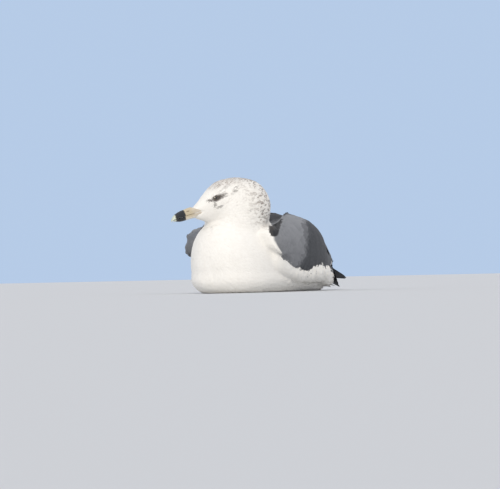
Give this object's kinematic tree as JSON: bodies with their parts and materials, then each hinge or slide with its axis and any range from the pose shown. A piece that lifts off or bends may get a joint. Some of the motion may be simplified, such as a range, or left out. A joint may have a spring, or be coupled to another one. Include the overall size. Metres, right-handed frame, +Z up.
{
  "type": "gull",
  "caption": "Life-size gull at rest on its belly, head drawn in and turned to its right, wings folded and feet tucked, as a still model with no moving parts.",
  "frame": {"origin": "middle of the bounding box in plan, at the height of the floor the bird rests on", "axes": "+Z up, +Y towards the tail, so the bird faces -Y, and its left side is +X"},
  "size_m": [0.1442, 0.4246, 0.1492],
  "materials": {
    "white_plumage": "matt white contour feathers",
    "grey_plumage": "matt mid-grey mantle and wing coverts",
    "black_plumage": "satin black flight feathers",
    "bill_horn": "dull horn, yellowish, banded in black",
    "eye": "wet gloss",
    "leg_skin": "scaly yellow-green skin"
  },
  "bodies": {
    "root": {"trunk": "white_plumage", "neck": "white_plumage", "head": "white_plumage", "tail": "white_plumage", "wing_left": "grey_plumage", "wing_right": "grey_plumage", "wing_tip_left": "black_plumage", "wing_tip_right": "black_plumage", "bill_upper": "bill_horn", "bill_lower": "bill_horn", "eye_left": "eye", "eye_right": "eye", "leg_left": "leg_skin", "leg_right": "leg_skin", "foot_left": "leg_skin", "foot_right": "leg_skin"}
  },
  "joints": []
}
